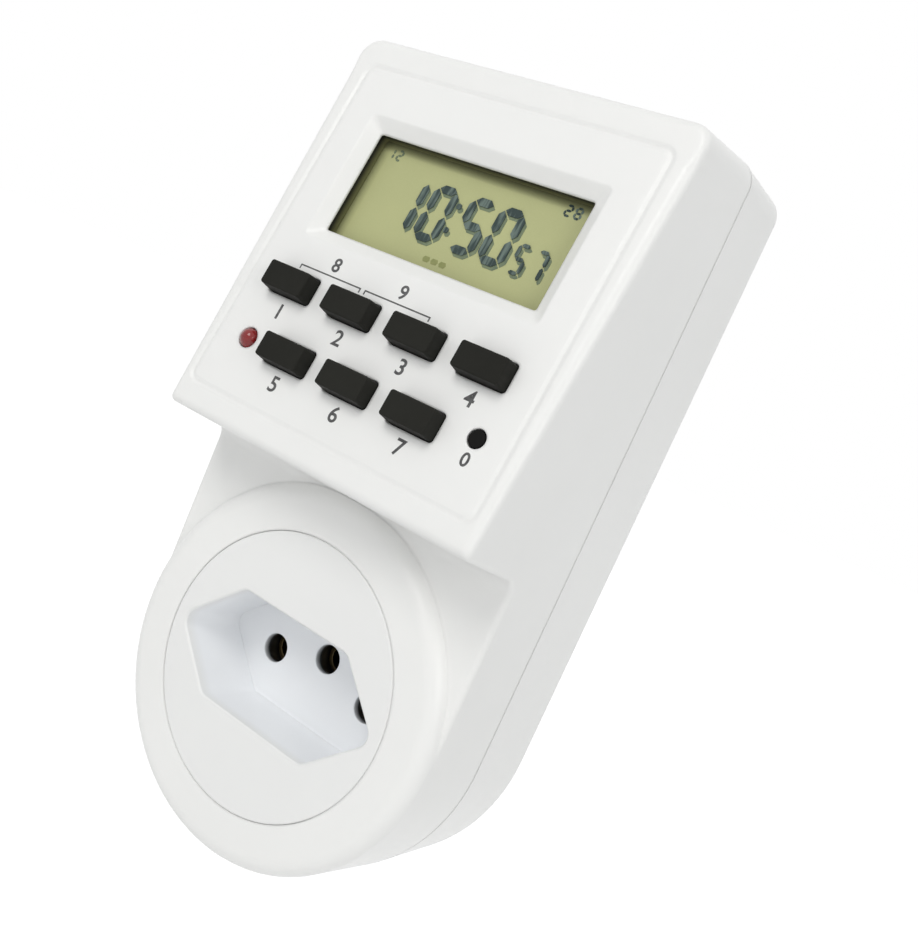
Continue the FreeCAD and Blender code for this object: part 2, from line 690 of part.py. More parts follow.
def strap_contact(x, y):
    """Contact whose strap runs back to an eyelet round the plug pin's shank."""
    eye = ring(PIN_COLLAR, PIN_SHANK + 2 * FIT, x, y, EYE_LOW, EYE_LOW + STRAP_THICK)
    return joined([contact(x, y, EYE_LOW, CARRIER_LOW + STRAP_REACH), eye])


def contact_carrier():
    """Insulating block with a chamber for each contact, between the insert's floor and the plug base."""
    block = prism(hexagon(0.0, CARRIER_LOW), FLOOR_BACK - CARRIER_LOW)
    low = CARRIER_LOW - PAST
    high = CARRIER_LOW + CARRIER_WINDOW
    strap_side = STRAP_WIDTH / 2 + CARRIER_CLEARANCE
    wire_side = (WIRE_PITCH + WIRE_DIAMETER) / 2 + CARRIER_CLEARANCE
    cuts = []
    for x, y in PINS.values():
        cuts.append(rod(2 * SLEEVE_RADIUS + 2 * CARRIER_CLEARANCE, x, y, low, FLOOR_BACK + PAST))
        cuts.append(box(x - strap_side, x + strap_side, y, y + TAB_Y + CARRIER_CLEARANCE, low, high))
    for name in ("live", "neutral"):
        x, y = PINS[name]
        cuts.append(box(x - wire_side, x + wire_side, y, y + HEX_HALF_LENGTH, low, high))
    return block.cut(cuts)


def key(x, y):
    """Key cap with tapered sides, a retaining flange and a foot that rests on its dome."""
    root = rectangle(KEY_WIDTH, KEY_HEIGHT, KEY_CORNER, x, y, 0)
    top = rectangle(KEY_WIDTH - 2 * KEY_TAPER, KEY_HEIGHT - 2 * KEY_TAPER, KEY_CORNER, x, y, KEY_PROUD)
    cap = rounded_edges(loft(root, top), KEY_EDGE, lambda edge: edge.BoundBox.ZMin > KEY_PROUD - NEAR)
    neck = prism(root, FLANGE_DROP)
    flange_low = FLANGE_DROP - KEY_FLANGE_THICK
    wide = rectangle(KEY_WIDTH + 2 * KEY_FLANGE, KEY_HEIGHT + 2 * KEY_FLANGE, KEY_CORNER, x, y, flange_low)
    foot = rod(KEY_FOOT, x, y, FOOT_LOW, flange_low)
    return on_panel(joined([cap, neck, prism(wide, KEY_FLANGE_THICK), foot]))


def reset_button():
    """Small round button with a retaining flange."""
    flange_low = FLANGE_DROP - KEY_FLANGE_THICK
    stem = rod(RESET_DIAMETER, RESET_X, RESET_Y, FLANGE_DROP, RESET_PROUD)
    stem = rounded_edges(stem, KEY_EDGE, lambda edge: edge.BoundBox.ZMin > RESET_PROUD - NEAR)
    flange = rod(RESET_DIAMETER + 2 * KEY_FLANGE, RESET_X, RESET_Y, flange_low, FLANGE_DROP)
    foot = rod(RESET_FOOT, RESET_X, RESET_Y, FOOT_LOW, flange_low)
    return on_panel(joined([stem, flange, foot]))


def key_mat():
    """Silicone sheet on the display board with a hollow dome under each key and the reset button."""
    low = -BOARD_DROP
    high = low + MAT_THICK
    mat_low = KEY_ROW_LOW - KEY_HEIGHT / 2 - MAT_MARGIN
    mat_high = KEY_ROW_HIGH + KEY_HEIGHT / 2 + MAT_MARGIN
    width = 2 * (BOARD_HALF_WIDTH - BOARD_ROUND)
    outline = rectangle(width, mat_high - mat_low, BOARD_ROUND, 0, (mat_high + mat_low) / 2, low)
    domes = [Part.makeCone(DOME_FOOT, DOME_CROWN, DOME_HEIGHT, Vector(x, y, high)) for x, y in BUTTONS]
    inner_foot = DOME_FOOT - DOME_WALL
    inner_crown = DOME_CROWN - DOME_WALL
    hollow_height = MAT_THICK + KEY_TRAVEL
    hollows = [Part.makeCone(inner_foot, inner_crown, hollow_height, Vector(x, y, low)) for x, y in BUTTONS]
    lamp_hole = rod(LAMP_DIAMETER + 2 * LAMP_RIM + 2 * PAST, LAMP_X, KEY_ROW_LOW, low - PAST, high + PAST)
    return on_panel(joined([prism(outline, MAT_THICK)] + domes).cut(hollows + [lamp_hole]))


def status_lamp():
    """Round lamp with a domed head and a rim, standing on the display board."""
    shoulder = LAMP_PROUD - LAMP_DIAMETER / 2
    stem = rod(LAMP_DIAMETER, LAMP_X, KEY_ROW_LOW, -BOARD_DROP, shoulder)
    dome = Part.makeSphere(LAMP_DIAMETER / 2, Vector(LAMP_X, KEY_ROW_LOW, shoulder))
    rim = rod(LAMP_DIAMETER + 2 * LAMP_RIM, LAMP_X, KEY_ROW_LOW, -BOARD_DROP, MAT_THICK - BOARD_DROP)
    return on_panel(joined([stem, dome, rim]))


def display_glass():
    """Two glass sheets, the front one standing past the rear one to form the contact ledge."""
    middle = -GLASS_DROP - GLASS_SHEET
    back = middle - GLASS_SHEET
    front = prism(rectangle(GLASS_WIDTH, GLASS_HEIGHT, 0, 0, WINDOW_Y, middle), GLASS_SHEET)
    low = WINDOW_Y - GLASS_HEIGHT / 2 + GLASS_LEDGE
    high = WINDOW_Y + GLASS_HEIGHT / 2
    rear = box(-GLASS_WIDTH / 2, GLASS_WIDTH / 2, low, high, back, middle)
    return on_panel(joined([front, rear]))


def display_frame():
    """Frame that stands on the board and holds the display glass, with a collar that lines the window."""
    low = -BOARD_DROP
    high = -PANEL_WALL - FRAME_GAP
    width = GLASS_WIDTH + 2 * FRAME_RIM
    height = GLASS_HEIGHT + 2 * FRAME_RIM
    outer = prism(rectangle(width, height, BOARD_ROUND, 0, WINDOW_Y, low), high - low)
    pocket = rectangle(GLASS_WIDTH + 2 * FIT, GLASS_HEIGHT + 2 * FIT, 0, 0, WINDOW_Y, low - PAST)
    view_width = WINDOW_WIDTH + 2 * FRAME_EDGE
    view_height = WINDOW_HEIGHT + 2 * FRAME_EDGE
    view = rectangle(view_width, view_height, WINDOW_ROUND, 0, WINDOW_Y, low)
    thick = 2 * FRAME_COLLAR
    foot = high - FRAME_GAP
    collar_wire = rectangle(view_width + thick, view_height + thick, WINDOW_ROUND, 0, WINDOW_Y, foot)
    collar_top = -BEVEL_DEPTH - WINDOW_LIP - FRAME_GAP
    collar = prism(collar_wire, collar_top - foot)
    pocket_height = FIT - GLASS_DROP - low + PAST
    return on_panel(joined([outer, collar]).cut([prism(pocket, pocket_height), prism(view, -low)]))


def rubber_strip():
    """Layered rubber strip that joins the glass ledge to the board."""
    low = WINDOW_Y - GLASS_HEIGHT / 2 + CARRIER_CLEARANCE
    high = low + GLASS_LEDGE - 2 * CARRIER_CLEARANCE
    half = GLASS_WIDTH / 2 - PAST
    return on_panel(box(-half, half, low, high, -BOARD_DROP, -GLASS_DROP - GLASS_SHEET))


def display_board():
    """Printed board behind the panel: a wide sheet with a narrower neck between the upper case screws."""
    half = [
        (BOARD_HALF_WIDTH, BOARD_LOW),
        (BOARD_HALF_WIDTH, NECK_LOW),
        (NECK_HALF_WIDTH, NECK_LOW),
        (NECK_HALF_WIDTH, BOARD_HIGH),
    ]
    corners = half + [(-x, y) for x, y in reversed(half)]
    sheet = prism(rounded_polygon([(x, y, BOARD_ROUND) for x, y in corners], BOARD_BACK), BOARD_THICK)
    return on_panel(sheet.cut([rod(BOARD_HOLE, x, y, BOARD_BACK - PAST, 0) for x, y in BOARD_SCREWS]))


def pan_screw(x, y, seat, head, core, length, turn):
    """Pan-head screw with a cross recess. Its shaft runs from the seat along z, reversed by a half turn."""
    height = head * HEAD_HEIGHT_RATIO
    arm = head * CROSS_REACH_RATIO
    half = head * CROSS_WIDTH_RATIO / 2
    slope = head * HEAD_SLOPE_RATIO
    crown = Part.makeCone(head / 2 - slope, head / 2, slope, Vector(0, 0, -height))
    cap = joined([crown, rod(head, 0, 0, slope - height, 0)])
    body = joined([cap, rod(core, 0, 0, -height / 4, length)])
    low = -height - PAST
    high = head * CROSS_DEPTH_RATIO - height
    cross = [box(-arm, arm, -half, half, low, high), box(-half, half, -arm, arm, low, high)]
    return placed(body.cut(cross), Placement(Vector(x, y, seat), Rotation(Vector(1, 0, 0), turn)))


def display_board_screws():
    """Four screws that hold the display board to its posts."""
    sizes = (BOARD_SCREW_HEAD, BOARD_SCREW_CORE, BOARD_SCREW_LENGTH)
    return on_panel(group([pan_screw(x, y, BOARD_BACK, *sizes, 0) for x, y in BOARD_SCREWS]))


def mains_board_screws():
    """Four screws that hold the mains board to the rear cover."""
    sizes = (MAINS_SCREW_HEAD, MAINS_SCREW_CORE, MAINS_SCREW_LENGTH)
    return group([pan_screw(x, y, MAINS_TOP, *sizes, 180) for x, y in MAINS_SCREWS])


def case_screws():
    """Four screws that close the case from behind."""
    sizes = (SCREW_HEAD, SCREW_CORE, SCREW_LENGTH)
    return group([pan_screw(x, y, SCREW_SEAT, *sizes, 0) for x, y in CASE_SCREWS])


def clock_chip():
    """Domed black resin over the clock chip, on the back of the display board."""
    radius = (CHIP_WIDTH ** 2 / 4 + CHIP_HEIGHT ** 2) / (2 * CHIP_HEIGHT)
    ball = Part.makeSphere(radius, Vector(CHIP_X, CHIP_Y, BOARD_BACK - CHIP_HEIGHT + radius))
    return on_panel(ball.common(rod(CHIP_WIDTH, CHIP_X, CHIP_Y, BOARD_BACK - CHIP_WIDTH, BOARD_BACK)))


def backup_cell():
    """Rechargeable button cell with its tab, on the back of the display board."""
    high = BOARD_BACK - CELL_TAB_THICK
    low = high - CELL_THICK
    cell = rod(CELL_DIAMETER, CELL_X, CELL_Y, low, high)
    cell = rounded_edges(cell, CELL_TAB_THICK, lambda edge: edge.BoundBox.ZMax < low + NEAR)
    half = CELL_TAB_WIDTH / 2
    reach = CELL_DIAMETER / 2 + CELL_TAB_REACH
    tab = box(CELL_X - half, CELL_X + half, CELL_Y - reach, CELL_Y + reach, high, BOARD_BACK)
    return on_panel(joined([cell, tab]))


def mains_board():
    """Printed board that carries the relay and the power supply."""
    low = WALL + STANDOFF
    middle = (MAINS_HIGH + MAINS_LOW) / 2
    outline = rectangle(2 * MAINS_HALF_WIDTH, MAINS_HIGH - MAINS_LOW, BOARD_ROUND, 0, middle, low)
    holes = [rod(MAINS_HOLE, x, y, low - PAST, MAINS_TOP + PAST) for x, y in MAINS_SCREWS]
    return prism(outline, MAINS_THICK).cut(holes)


def moulded_block(x, row, width, length, height):
    """Rectangular component with softened top edges, standing on the mains board."""
    body = prism(rectangle(width, length, WINDOW_ROUND, x, MAINS_LOW + row, MAINS_TOP), height)
    return rounded_edges(body, WINDOW_ROUND, lambda edge: edge.BoundBox.ZMin > MAINS_TOP + height - NEAR)


def smoothing_can():
    """Round electrolytic can standing on the mains board."""
    high = MAINS_TOP + CAN_HEIGHT
    can = rod(CAN_DIAMETER, CAN_X, MAINS_LOW + CAPACITOR_ROW, MAINS_TOP, high)
    return rounded_edges(can, WINDOW_ROUND, lambda edge: edge.BoundBox.ZMin > high - NEAR)


def varistor():
    """Disc-shaped surge absorber on two leads."""
    radius = VARISTOR_DIAMETER / 2
    y = MAINS_LOW + CAPACITOR_ROW
    z = MAINS_TOP + LEAD_RISE + radius
    start = Vector(VARISTOR_X - VARISTOR_THICK / 2, y, z)
    disc = Part.makeCylinder(radius, VARISTOR_THICK, start, Vector(1, 0, 0))
    half = LEAD / 2
    leads = []
    for side in (-1, 1):
        foot = y + side * radius / 2
        leads.append(box(VARISTOR_X - half, VARISTOR_X + half, foot - half, foot + half, MAINS_TOP, z))
    return joined([disc] + leads)


def axial_part(x, y, diameter, length, reach):
    """Small round component lying along y above the board on two bent leads."""
    half = LEAD / 2
    z = MAINS_TOP + LEAD_RISE + diameter / 2
    start = Vector(x, y - length / 2, z)
    end = length / 2 + reach
    body = Part.makeCylinder(diameter / 2, length, start, Vector(0, 1, 0))
    wire_bar = box(x - half, x + half, y - end, y + end, z - half, z + half)
    legs = [box(x - half, x + half, y + s * end - half, y + s * end + half, MAINS_TOP, z) for s in (-1, 1)]
    bar_end = [box(x - half, x + half, y + s * end - half, y + s * end + half, z, z + half) for s in (-1, 1)]
    return joined([body, wire_bar] + legs + bar_end)


def axial_row(first_x, count, diameter, length):
    """Row of equal small components side by side."""
    y = MAINS_LOW + AXIAL_ROW
    return group([axial_part(first_x + i * AXIAL_PITCH, y, diameter, length, LEAD) for i in range(count)])


def thermal_fuse():
    """Round fuse lying across the mains board on two leads."""
    y = MAINS_LOW + FUSE_ROW
    lying = axial_part(0.0, 0.0, FUSE_DIAMETER, FUSE_LENGTH, -LEAD)
    return placed(lying, Placement(Vector(FUSE_X, y, 0), Rotation(Vector(0, 0, 1), 90)))


def bent_path(points, bend):
    """Wire through points, straight between them and turned by arcs at each one."""
    edges, last = [], points[0]
    for before, point, after in zip(points, points[1:], points[2:]):
        to_before = (before - point).normalize()
        to_after = (after - point).normalize()
        half = to_before.getAngle(to_after) / 2
        shorter = min((before - point).Length, (after - point).Length)
        reach = min(bend / math.tan(half), 0.4 * shorter)
        radius = reach * math.tan(half)
        inward = (to_before + to_after).normalize()
        start = point + to_before * reach
        end = point + to_after * reach
        edges.append(Part.makeLine(last, start))
        edges.append(Part.Arc(start, point + inward * (radius / math.sin(half) - radius), end).toShape())
        last = end
    edges.append(Part.makeLine(last, points[-1]))
    return Part.Wire(edges)


def insulated_wire(points):
    """Round wire through a list of (x, y, z) points, ending on its pad on the mains board."""
    x = points[-1][0]
    over = MAINS_TOP + WIRE_RISE
    pad = MAINS_LOW + WIRE_ROW
    run = points + [(x, MAINS_LOW - WIRE_BEND, over), (x, pad, over), (x, pad, MAINS_TOP)]
    vectors = [Vector(*point) for point in run]
    section = Part.Circle(vectors[0], vectors[1] - vectors[0], WIRE_DIAMETER / 2).toShape()
    return bent_path(vectors, WIRE_BEND).makePipeShell([Part.Wire([section])], True, True)


def wires():
    """Wires from the live pin to the mains board, back to the live contact, and from the neutral contact."""
    live_x, live_y = PINS["live"]
    neutral_x, neutral_y = PINS["neutral"]
    lane_y = TAB_Y + WIRE_DIAMETER
    lane_z = CARRIER_LOW + STRAP_REACH - PAST
    clear_y = HEX_CENTRE_Y + HEX_HALF_HEIGHT + WIRE_BEND
    shank_end = EYE_LOW + PIN_SHANK_LENGTH
    in_x = live_x + WIRE_PITCH / 2
    out_x = live_x - WIRE_PITCH / 2
    incoming = [
        (live_x, live_y, shank_end),
        (live_x, live_y, shank_end + WIRE_BEND),
        (in_x, lane_y, shank_end + 2 * WIRE_BEND),
        (in_x, lane_y, CARRIER_LOW + PAST),
        (in_x, clear_y, lane_z),
    ]
    outgoing = [(out_x, live_y + TAB_Y, lane_z), (out_x, clear_y, lane_z)]
    neutral = [(neutral_x, neutral_y + TAB_Y, lane_z), (neutral_x, clear_y, lane_z)]
    return {
        "wire_live_in": insulated_wire(incoming),
        "wire_live_out": insulated_wire(outgoing),
        "wire_neutral": insulated_wire(neutral),
    }


def ribbon_cable():
    """Flat cable from the mains board up to the back of the display board."""
    top = PANEL.multVec(Vector(RIBBON_X, RIBBON_PANEL_Y, BOARD_BACK))
    near = PANEL.multVec(Vector(RIBBON_X, RIBBON_PANEL_Y, BOARD_BACK - RIBBON_STUB))
    y = near.y + RIBBON_STEP
    points = [Vector(RIBBON_X, y, MAINS_TOP), Vector(RIBBON_X, y, near.z - RIBBON_STEP), near, top]
    section = rectangle(RIBBON_WIDTH, RIBBON_THICK, RIBBON_THICK / 3, RIBBON_X, y, MAINS_TOP)
    return bent_path(points, RIBBON_BEND).makePipeShell([section], True, True)


os.makedirs("parts", exist_ok=True)

export("front_housing", front_housing())
export("rear_cover", rear_cover())
export("case_screws", case_screws())

export("socket_insert", socket_insert())
export("contact_carrier", contact_carrier())
export("contact_live", contact(*PINS["live"], CARRIER_LOW, CARRIER_LOW + TAB_REACH))
export("contact_neutral", strap_contact(*PINS["neutral"]))
export("contact_earth", strap_contact(*PINS["earth"]))
export("plug_base", plug_base())
for pin_name, (pin_x, pin_y) in PINS.items():
    export("pin_" + pin_name, plug_pin(pin_x, pin_y))

for number, (key_x, key_y) in enumerate(KEYS, 1):
    export("key_" + str(number), key(key_x, key_y))
export("reset_button", reset_button())
export("key_mat", key_mat())
export("status_lamp", status_lamp())
export("display_glass", display_glass())
export("display_frame", display_frame())
export("rubber_strip", rubber_strip())
export("display_board", display_board())
export("display_board_screws", display_board_screws())
export("clock_chip", clock_chip())
export("backup_cell", backup_cell())

export("mains_board", mains_board())
export("mains_board_screws", mains_board_screws())
export("relay", moulded_block(RELAY_X, RELAY_ROW, RELAY_WIDTH, RELAY_LENGTH, RELAY_HEIGHT))
export("film_capacitor", moulded_block(FILM_X, CAPACITOR_ROW, FILM_WIDTH, FILM_LENGTH, FILM_HEIGHT))
export("smoothing_can", smoothing_can())
export("varistor", varistor())
export("thermal_fuse", thermal_fuse())
export("rectifier_diodes", axial_row(DIODE_X, DIODE_COUNT, DIODE_DIAMETER, DIODE_LENGTH))
export("resistors", axial_row(RESISTOR_X, RESISTOR_COUNT, RESISTOR_DIAMETER, RESISTOR_LENGTH))
for wire_name, wire_shape in wires().items():
    export(wire_name, wire_shape)
export("ribbon_cable", ribbon_cable())
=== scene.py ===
import json
import math

import bmesh
import bpy
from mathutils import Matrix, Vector


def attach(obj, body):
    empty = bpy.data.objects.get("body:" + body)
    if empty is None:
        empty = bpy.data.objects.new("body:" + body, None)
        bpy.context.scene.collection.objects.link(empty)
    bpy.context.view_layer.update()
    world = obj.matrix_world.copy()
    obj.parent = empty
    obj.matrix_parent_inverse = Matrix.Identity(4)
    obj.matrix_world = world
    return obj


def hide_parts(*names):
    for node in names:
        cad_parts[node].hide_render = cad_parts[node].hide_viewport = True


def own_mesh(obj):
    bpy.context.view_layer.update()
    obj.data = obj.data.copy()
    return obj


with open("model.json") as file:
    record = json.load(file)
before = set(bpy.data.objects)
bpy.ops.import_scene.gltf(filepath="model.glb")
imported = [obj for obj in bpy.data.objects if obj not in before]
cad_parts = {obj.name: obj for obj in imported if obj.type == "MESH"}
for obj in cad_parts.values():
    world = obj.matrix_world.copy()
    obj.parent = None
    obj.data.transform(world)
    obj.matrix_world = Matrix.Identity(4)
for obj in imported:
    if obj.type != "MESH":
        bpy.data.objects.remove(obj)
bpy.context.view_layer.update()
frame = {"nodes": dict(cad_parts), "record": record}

MM = 0.001

# Camera of the photograph: place and clipping in metres, turn in degrees, lens and sensor in millimetres
CAMERA_PLACE = (0.08782, -0.16847, 0.05127)
CAMERA_TURN = (84.629, -23.562, 32.423)
CAMERA_LENS = 43.170
CAMERA_SENSOR = 36.0
CAMERA_SHIFT = (0.00194, 0.00074)
CAMERA_NEAR, CAMERA_FAR = 0.005, 20.0

# Panel of the head, in millimetres: a point on it lies u across, v up and n out of it
PANEL_FOOT = Vector((0.0, -54.1, 30.4))
PANEL_TILT = math.radians(10.9)
PANEL_UP = Vector((0, math.sin(PANEL_TILT), math.cos(PANEL_TILT)))
PANEL_OUT = Vector((0, -math.cos(PANEL_TILT), math.sin(PANEL_TILT)))
GLASS_DROP = 3.4
WINDOW_TOP = 47.15
WINDOW_SIDE = 18.15

# Keys, reset button and status lamp on the panel
KEY_PITCH = 11.25
HIGH_ROW, LOW_ROW = 21.95, 12.65
KEY_PLACES = [((i - 1.5) * KEY_PITCH, HIGH_ROW) for i in range(4)]
KEY_PLACES += [((i - 1) * KEY_PITCH, LOW_ROW) for i in range(3)]
RESET_U, RESET_V = 20.45, 13.6
STATUS_LAMP_U = -19.4

# Floor under the object, in metres, and what the camera sees of it
FLOOR_Z = -0.095
FLOOR_HALF = 6.0
FLOOR_GREY = (0.86, 0.86, 0.86, 1.0)
FLOOR_GLOW = 1.6
FLOOR_GLOW_SHARE = 0.5

# Light on the object: the world's level and tint, then each lamp's place in metres and its watts
WHITE = (1.0, 1.0, 1.0, 1.0)
WORLD_LEVEL = 0.55
WORLD_TINT = (0.965, 0.985, 1.0, 1.0)
LAMP_TINT = (1.0, 0.985, 0.955)
LAMP_SIZE = 0.5
LAMP_TARGET = Vector((0.0, -0.04, 0.03))
LAMPS = {
    "key_lamp": ((-0.05, -0.85, 0.70), 3.5),
    "side_lamp": ((0.90, -0.50, 0.35), 2.0),
    "back_lamp": ((-0.30, 0.90, 0.55), 2.4),
}


# Helpers for node materials

# Numbers of the colour mix node's sockets, which share their names with its other kinds
MIX_FACTOR, MIX_FIRST, MIX_SECOND, MIX_RESULT = 0, 6, 7, 2
# Values between which most of a noise texture lies
NOISE_LOW, NOISE_HIGH = 0.3, 0.7
BEVEL_SAMPLES = 6
# Rubbed edges: their radius in metres, how far the normal turns there, and how much of the worn colour shows
WEAR_RADIUS = 0.0004
WEAR_FLAT, WEAR_EDGE = 0.99, 0.80
WEAR_SHARE = 0.6


def new_material(name):
    material = bpy.data.materials.new(name)
    material.use_nodes = True
    tree = material.node_tree
    return material, tree, tree.nodes["Principled BSDF"]


def node(tree, kind, **values):
    made = tree.nodes.new(kind)
    for key, value in values.items():
        setattr(made, key, value)
    return made


def set_inputs(target, **values):
    for key, value in values.items():
        target.inputs[key.replace("_", " ")].default_value = value


def object_point(tree):
    return node(tree, "ShaderNodeTexCoord").outputs["Object"]


def noise(tree, scale, detail=2.0, roughness=0.5, stretch=None):
    """Cloudy texture in the frame's metres, drawn out along an axis where a stretch is given."""
    texture = node(tree, "ShaderNodeTexNoise")
    set_inputs(texture, Scale=scale, Detail=detail, Roughness=roughness)
    source = object_point(tree)
    if stretch:
        mapping = node(tree, "ShaderNodeMapping")
        mapping.inputs["Scale"].default_value = stretch
        tree.links.new(source, mapping.inputs["Vector"])
        source = mapping.outputs["Vector"]
    tree.links.new(source, texture.inputs["Vector"])
    return texture.outputs["Fac"]


def bands(tree, axis, scale):
    """Even stripes, one after another along an axis."""
    wave = node(tree, "ShaderNodeTexWave", wave_type="BANDS", bands_direction=axis)
    set_inputs(wave, Scale=scale, Distortion=0.0)
    tree.links.new(object_point(tree), wave.inputs["Vector"])
    return wave.outputs["Fac"]


def remap(tree, value, low, high, out_low, out_high):
    ranged = node(tree, "ShaderNodeMapRange")
    set_inputs(ranged, From_Min=low, From_Max=high, To_Min=out_low, To_Max=out_high)
    tree.links.new(value, ranged.inputs["Value"])
    return ranged.outputs["Result"]


def along(tree, direction, low, high, most=1.0):
    """Runs from 0 to most between two distances, in metres, along a direction of the frame."""
    dot = node(tree, "ShaderNodeVectorMath", operation="DOT_PRODUCT")
    dot.inputs[1].default_value = direction
    tree.links.new(object_point(tree), dot.inputs[0])
    return remap(tree, dot.outputs["Value"], low, high, 0.0, most)


def mixed(tree, factor, first, second):
    """Colour between two others, each of them a socket or three numbers."""
    mix = node(tree, "ShaderNodeMix", data_type="RGBA")
    tree.links.new(factor, mix.inputs[MIX_FACTOR])
    for socket, colour in ((MIX_FIRST, first), (MIX_SECOND, second)):
        if isinstance(colour, tuple):
            mix.inputs[socket].default_value = (*colour, 1.0)
        else:
            tree.links.new(colour, mix.inputs[socket])
    return mix.outputs[MIX_RESULT]


def two_tone(tree, value, tones, low=0.35, high=0.7):
    """Goes from the first tone to the second as a texture's value grows from low to high."""
    first, second = tones
    return mixed(tree, remap(tree, value, low, high, 0.0, 1.0), first, second)


def bump(tree, height, depth, strength, normal=None):
    made = node(tree, "ShaderNodeBump")
    set_inputs(made, Strength=strength, Distance=depth)
    tree.links.new(height, made.inputs["Height"])
    if normal is not None:
        tree.links.new(normal, made.inputs["Normal"])
    return made.outputs["Normal"]


def bevel(tree, radius):
    """Normal that turns near an edge as if the edge were rounded."""
    edges = node(tree, "ShaderNodeBevel", samples=BEVEL_SAMPLES)
    edges.inputs["Radius"].default_value = radius
    return edges.outputs["Normal"]


def edge_wear(tree):
    """Grows from 0 on flat faces to the share of wear along edges."""
    normal = node(tree, "ShaderNodeNewGeometry").outputs["True Normal"]
    dot = node(tree, "ShaderNodeVectorMath", operation="DOT_PRODUCT")
    tree.links.new(bevel(tree, WEAR_RADIUS), dot.inputs[0])
    tree.links.new(normal, dot.inputs[1])
    return remap(tree, dot.outputs["Value"], WEAR_FLAT, WEAR_EDGE, 0.0, WEAR_SHARE)


def join_shader(tree, shader, base, value, smooth, rough, relief=None):
    """Joins the colour, a roughness that follows a texture's value, and the relief to a shader."""
    tree.links.new(base, shader.inputs["Base Color"])
    roughness = remap(tree, value, NOISE_LOW, NOISE_HIGH, smooth, rough)
    tree.links.new(roughness, shader.inputs["Roughness"])
    if relief is not None:
        tree.links.new(relief, shader.inputs["Normal"])


# Kinds of material, one function each

def moulded(name, tones, roughness, grain, worn=None, specular=0.5, edge=0.0003, painted_shading=()):
    """Moulded plastic: faint flow marks, fine grain, uneven gloss, lightly rubbed edges, and painted light
    and shade set by place where given.
    """
    material, tree, shader = new_material(name)
    flow = noise(tree, scale=35.0, detail=3.0)
    base = two_tone(tree, flow, tones, high=0.65)
    if worn is not None:
        base = mixed(tree, edge_wear(tree), base, worn)
    # Painted light, shade and reflection, set by place
    for direction, low, high, deep in painted_shading:
        base = mixed(tree, along(tree, direction, low, high), base, deep)
    patch = noise(tree, scale=900.0, detail=4.0)
    fine = noise(tree, scale=5200.0, detail=3.0, roughness=0.6)
    relief = bump(tree, fine, depth=grain, strength=0.6, normal=bevel(tree, edge))
    join_shader(tree, shader, base, patch, roughness - 0.05, roughness + 0.07, relief)
    set_inputs(shader, Specular_IOR_Level=specular)
    return material


def metal(name, tones, roughness, stretch):
    """Metal with drawn or rolled streaks along one axis and small tarnish clouds."""
    material, tree, shader = new_material(name)
    cloud = noise(tree, scale=220.0, detail=4.0)
    base = two_tone(tree, cloud, tones, low=0.4)
    streak = noise(tree, scale=2600.0, stretch=stretch)
    relief = bump(tree, streak, depth=4e-6, strength=0.5, normal=bevel(tree, radius=0.0002))
    join_shader(tree, shader, base, streak, roughness - 0.06, roughness + 0.10, relief)
    set_inputs(shader, Metallic=1.0)
    return material


def rubber(name, tones, layers=None):
    """Dull rubber or silicone with a dusty bloom, striped where a scale of layers is given."""
    material, tree, shader = new_material(name)
    bloom = noise(tree, scale=500.0, detail=5.0, roughness=0.6)
    base = two_tone(tree, bloom, tones)
    if layers:
        base = two_tone(tree, bands(tree, "X", layers), (base, (0.35, 0.35, 0.36)), low=0.4, high=0.6)
    relief = bump(tree, noise(tree, scale=3000.0, detail=3.0), depth=1e-5, strength=0.5)
    join_shader(tree, shader, base, bloom, smooth=0.5, rough=0.75, relief=relief)
    return material


def ink(name, tones, texture, low, high, smooth, rough, specular):
    """Thin ink or display layer, as uneven as its noise texture."""
    material, tree, shader = new_material(name)
    value = noise(tree, **texture)
    join_shader(tree, shader, two_tone(tree, value, tones, low, high), value, smooth, rough)
    set_inputs(shader, Specular_IOR_Level=specular)
    return material


# Painted shadow of the window along the display's upper and left edges: its width in millimetres and its
# strength
UPPER_SHADE_WIDTH, UPPER_SHADE = 1.3, 0.72
LEFT_SHADE_WIDTH, LEFT_SHADE = 1.4, 0.48


def display_olive():
    """Front of the display: slightly cloudy olive layer with a painted shadow of the window along two edges.
    """
    material, tree, shader = new_material("display_glass")
    cloud = noise(tree, scale=90.0, detail=3.0)
    base = two_tone(tree, cloud, ((0.470, 0.485, 0.240), (0.440, 0.455, 0.228)), low=0.3)
    speck = remap(tree, noise(tree, scale=6500.0), low=0.35, high=0.75, out_low=0.0, out_high=0.22)
    base = mixed(tree, speck, base, (0.54, 0.55, 0.30))
    top = PANEL_FOOT.dot(PANEL_UP) + WINDOW_TOP
    upper = along(tree, PANEL_UP, (top - UPPER_SHADE_WIDTH) * MM, top * MM, UPPER_SHADE)
    left = along(tree, (-1.0, 0.0, 0.0), (WINDOW_SIDE - LEFT_SHADE_WIDTH) * MM, WINDOW_SIDE * MM, LEFT_SHADE)
    # Painted shadow of the window's upper and left walls
    base = mixed(tree, upper, base, (0.025, 0.025, 0.012))
    base = mixed(tree, left, base, (0.060, 0.060, 0.028))
    relief = bump(tree, noise(tree, scale=5000.0), depth=4e-6, strength=0.4)
    join_shader(tree, shader, base, cloud, smooth=0.38, rough=0.46, relief=relief)
    set_inputs(shader, Specular_IOR_Level=0.25)
    return material


def lamp_red():
    """Dark red diffused lamp body, slightly cloudy, under a thin clear coat."""
    material, tree, shader = new_material("lamp_red")
    cloud = noise(tree, scale=600.0, detail=3.0)
    base = two_tone(tree, cloud, ((0.26, 0.016, 0.016), (0.165, 0.008, 0.010)))
    relief = bump(tree, noise(tree, scale=3500.0), depth=3e-6, strength=0.4)
    join_shader(tree, shader, base, cloud, smooth=0.14, rough=0.22, relief=relief)
    set_inputs(shader, Coat_Weight=0.3, Coat_Roughness=0.08, Specular_IOR_Level=0.35)
    return material


